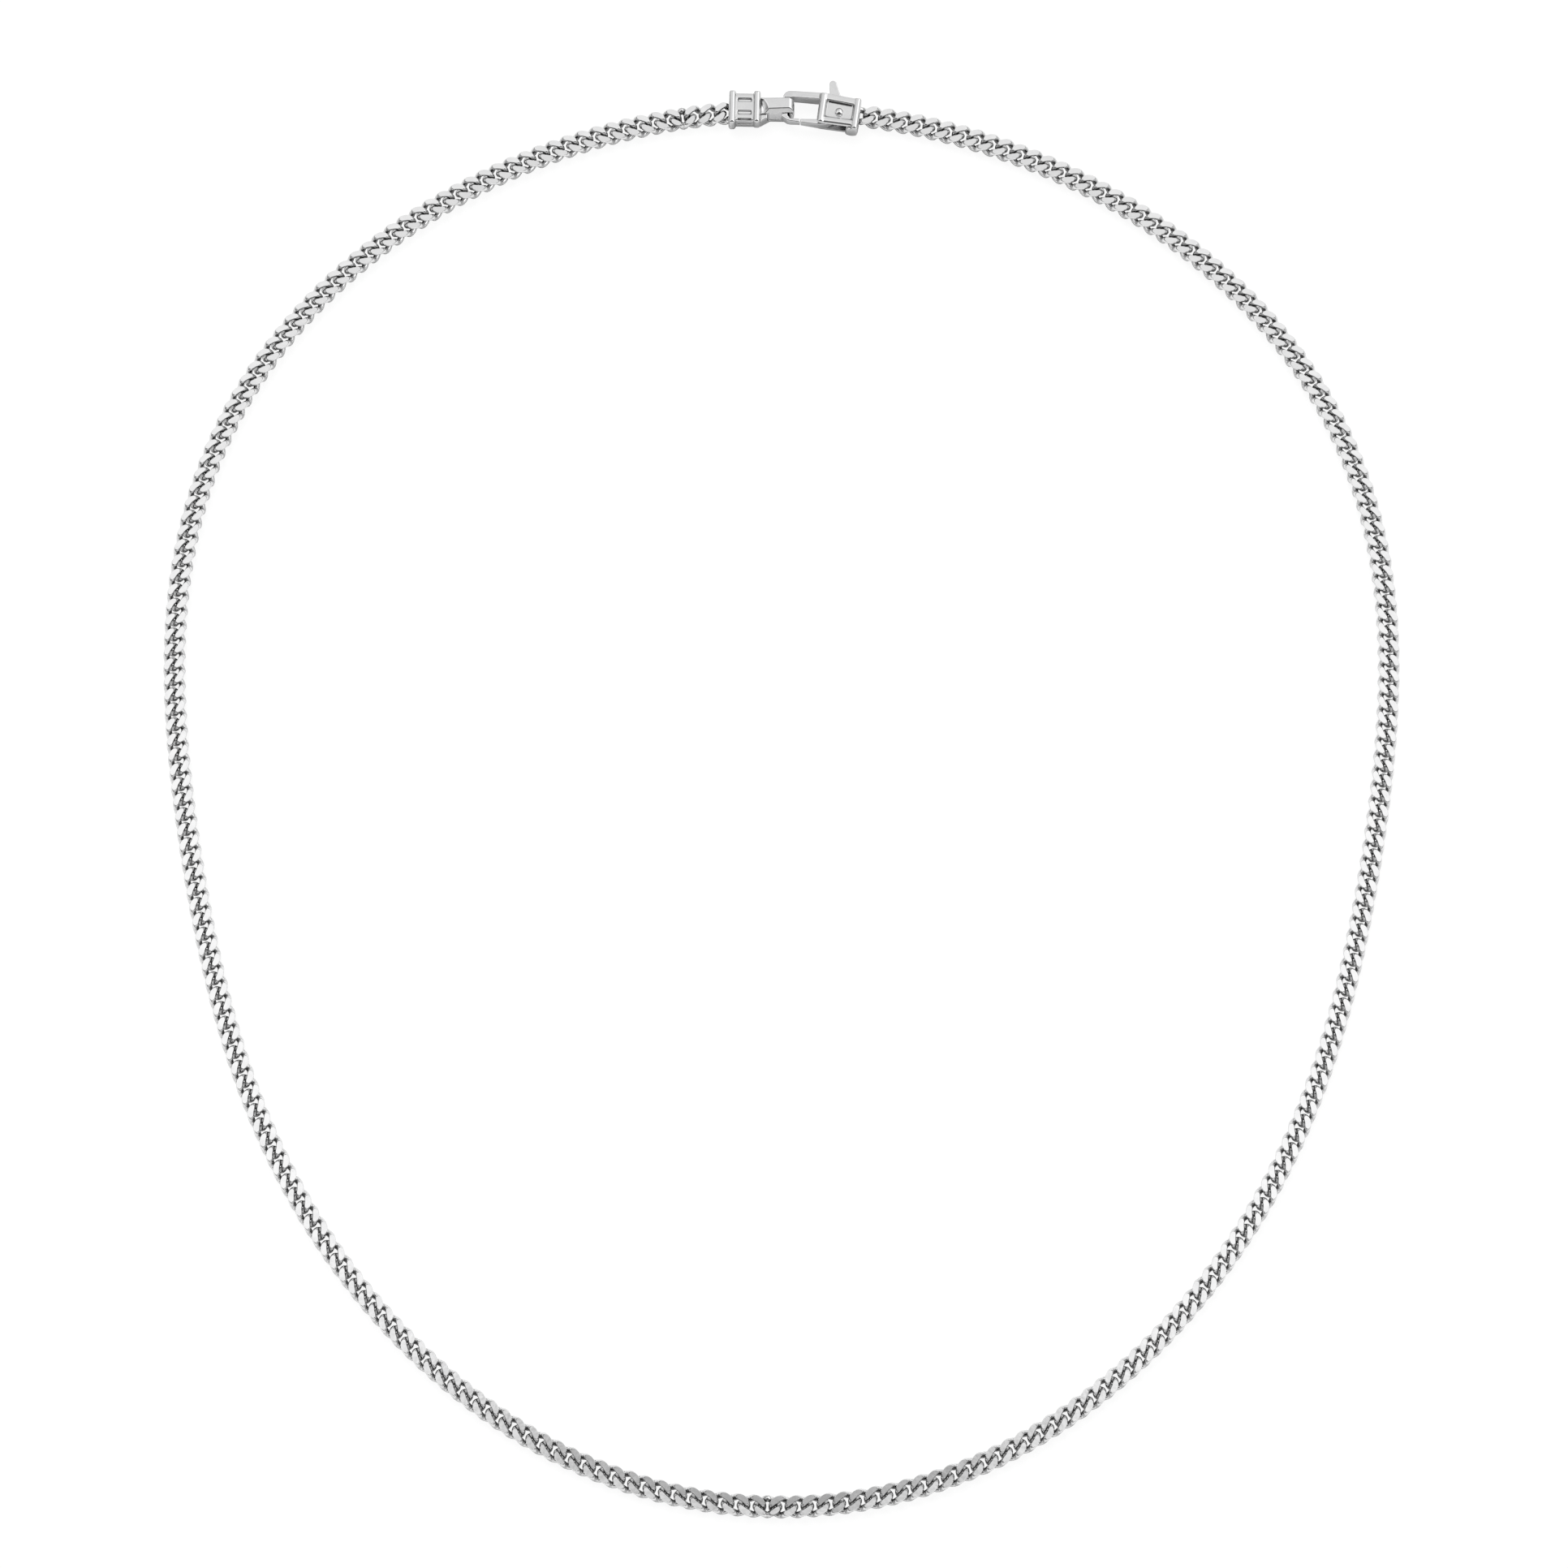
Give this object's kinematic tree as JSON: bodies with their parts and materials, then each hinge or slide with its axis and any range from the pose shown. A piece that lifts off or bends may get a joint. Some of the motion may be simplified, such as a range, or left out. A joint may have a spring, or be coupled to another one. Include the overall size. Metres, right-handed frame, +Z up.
{
  "type": "curb chain necklace with lobster clasp",
  "caption": "Polished silver curb chain necklace, a closed loop lying flat, fastened by a ribbed lobster clasp on a flat bail with a ribbed end cap.",
  "frame": {"origin": "middle of the piece's outline, on the surface that it lies on", "axes": "+X to the right with the clasp at the far side, +Y from the front of the neck towards the clasp, +Z up from the surface"},
  "size_m": [0.1514, 0.1801, 0.0029],
  "materials": {
    "chain_silver": "polished silver, filed flats with bright edges",
    "clasp_silver": "polished silver, soft satin faces"
  },
  "bodies": {
    "necklace": {"chain": "chain_silver", "end_cap": "clasp_silver", "clasp_body": "clasp_silver", "lever_pin": "clasp_silver"},
    "lever": {"clasp_lever": "clasp_silver"}
  },
  "joints": [
    {"name": "clasp_lever_turn", "type": "hinge", "parent": "necklace", "child": "lever", "pos_m": [0.00719, 0.08576, 0.00145], "axis": [0, 0, 1], "range_deg": [-22, 0], "stiffness_Nm_per_rad": 0.004, "springref_deg": 8.59}
  ]
}
